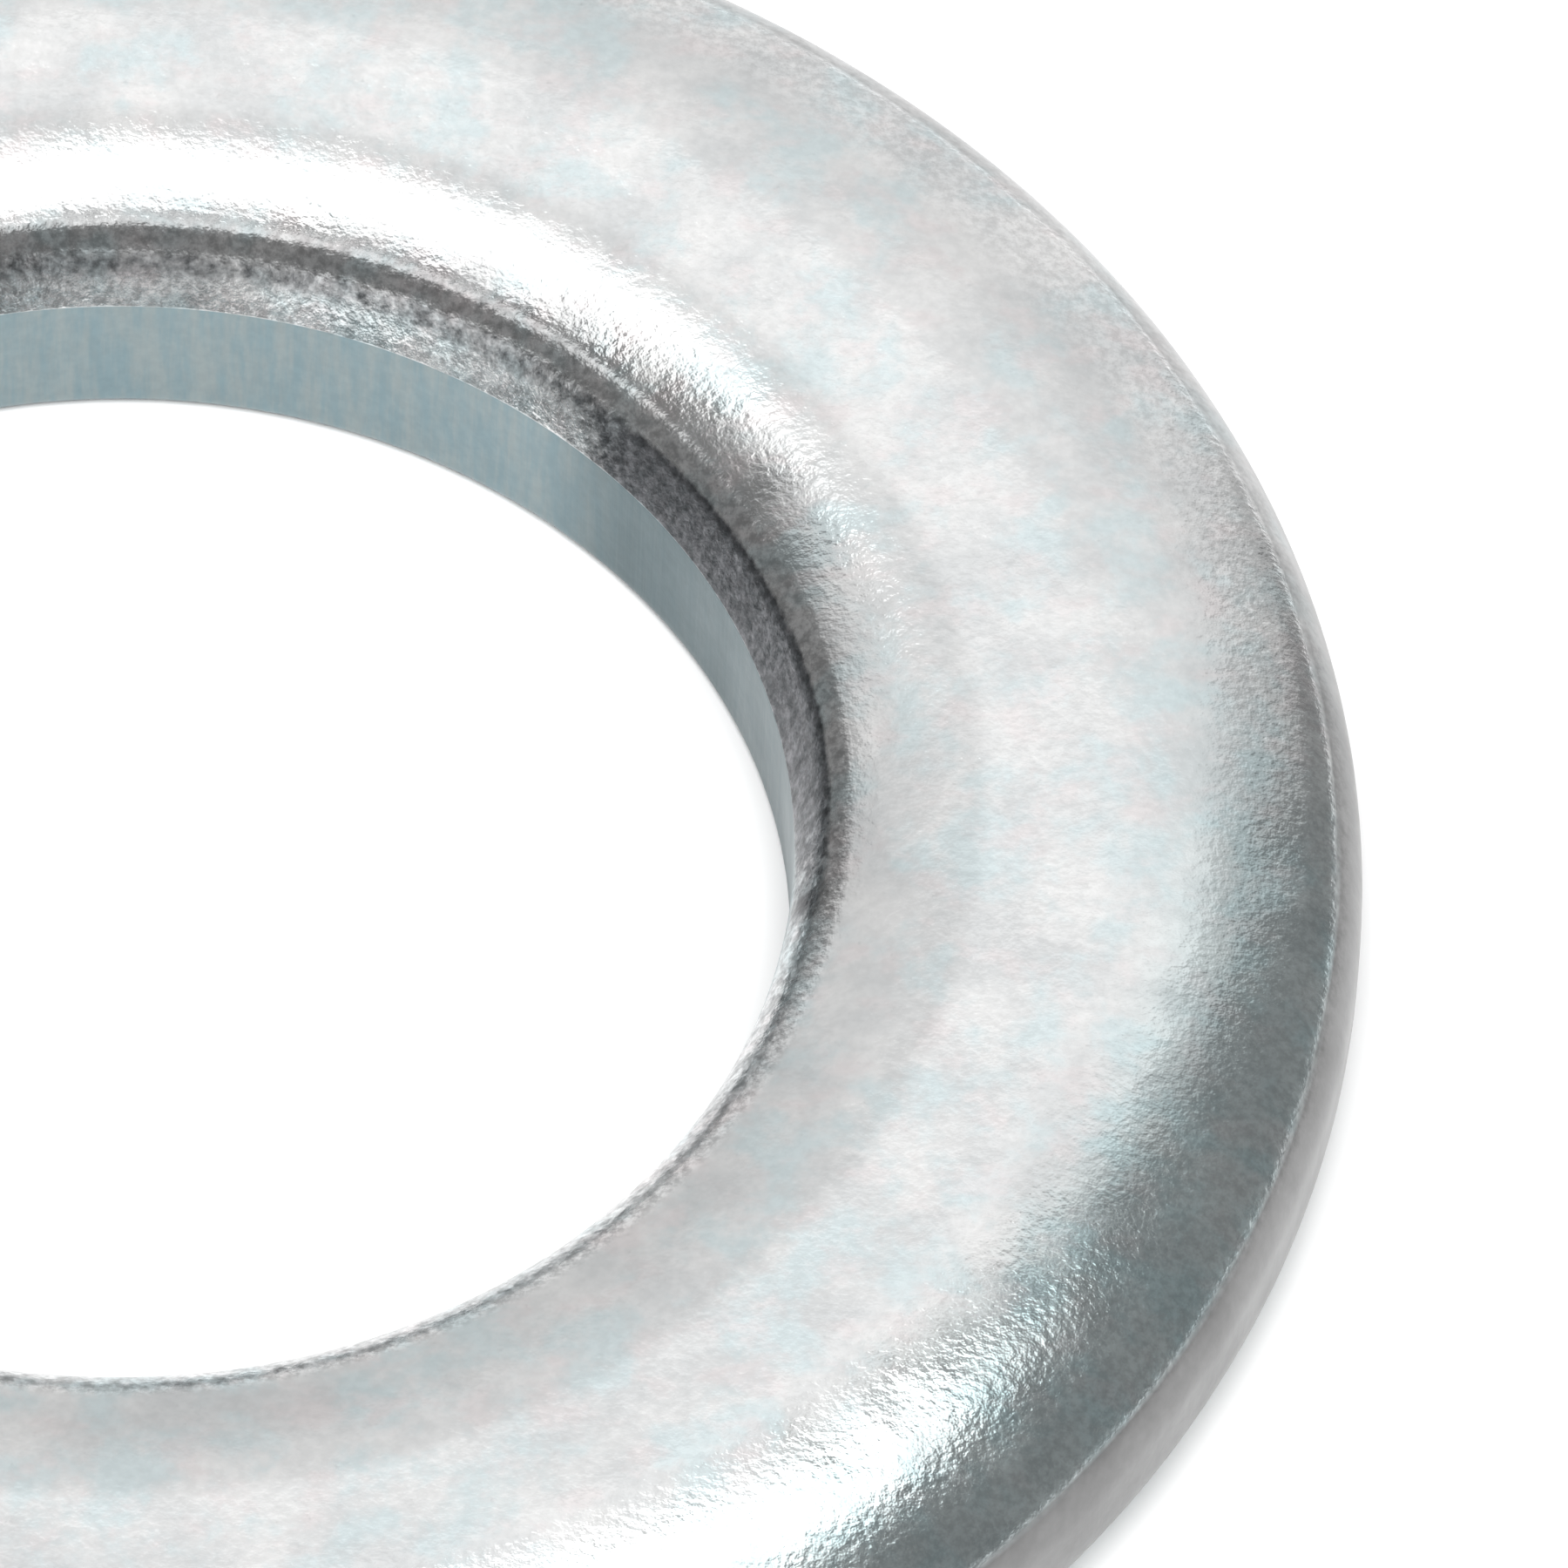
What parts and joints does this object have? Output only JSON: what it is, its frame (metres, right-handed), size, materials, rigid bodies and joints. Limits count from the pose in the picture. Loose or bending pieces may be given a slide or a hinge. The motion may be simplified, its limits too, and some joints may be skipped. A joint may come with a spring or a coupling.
{
  "type": "flat washer",
  "caption": "Plain round steel washer with a central clearance hole and rolled upper edges, zinc plated.",
  "frame": {"origin": "on the bore's axis, in the plane of the lower flat face", "axes": "+Z along the bore's axis, from the lower face towards the face with the rolled edges; X and Y lie anywhere in the plane, because the washer is round"},
  "size_m": [0.024, 0.024, 0.0025],
  "materials": {
    "zinc_plated_steel": "bright zinc plating, slightly mottled"
  },
  "bodies": {
    "root": {"flat_washer": "zinc_plated_steel"}
  },
  "joints": []
}
